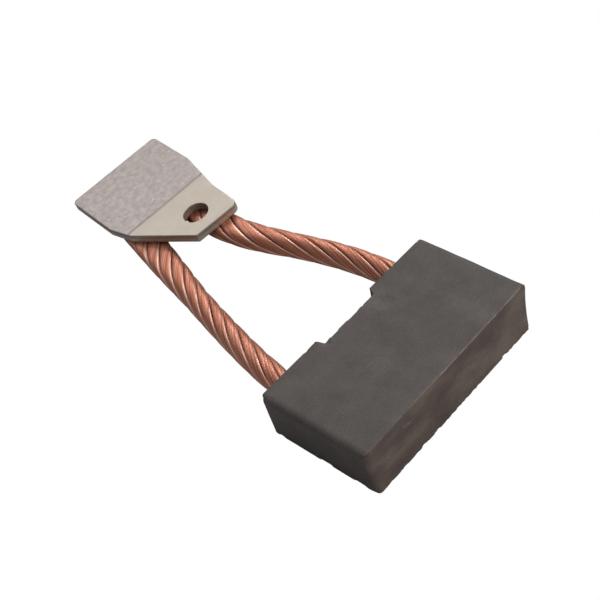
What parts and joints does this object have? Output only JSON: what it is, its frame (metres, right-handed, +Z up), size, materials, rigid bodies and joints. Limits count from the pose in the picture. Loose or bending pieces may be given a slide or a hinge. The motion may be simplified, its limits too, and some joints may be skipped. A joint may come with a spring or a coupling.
{
  "type": "carbon brush",
  "caption": "Carbon brush: pressed copper-graphite block with a worn contact face and a spring groove, twisted bare copper leads, and a tinned terminal plate with a bolt hole.",
  "frame": {"origin": "middle of the block's underside, halfway between its two ends and between its upper contact edge and its lead face", "axes": "+X along the block's width, which is the commutator's axis; +Y from the contact face to the leads; +Z up through the block's thickness"},
  "size_m": [0.0462, 0.1038, 0.0111],
  "materials": {
    "graphite": "pressed copper-graphite, matt, with fine pits, scratches and worn edges",
    "bare_copper": "bunched fine bare copper wire, twisted, slightly oxidised",
    "tinned_copper": "dull tinned sheet, mottled and pitted where it is pressed and welded"
  },
  "bodies": {
    "root": {"carbon_block": "graphite", "terminal_plate": "tinned_copper", "left_lead_core": "bare_copper", "left_lead_strand_1": "bare_copper", "left_lead_strand_2": "bare_copper", "left_lead_strand_3": "bare_copper", "left_lead_strand_4": "bare_copper", "left_lead_strand_5": "bare_copper", "left_lead_strand_6": "bare_copper", "right_lead_core": "bare_copper", "right_lead_strand_1": "bare_copper", "right_lead_strand_2": "bare_copper", "right_lead_strand_3": "bare_copper", "right_lead_strand_4": "bare_copper", "right_lead_strand_5": "bare_copper", "right_lead_strand_6": "bare_copper"}
  },
  "joints": []
}
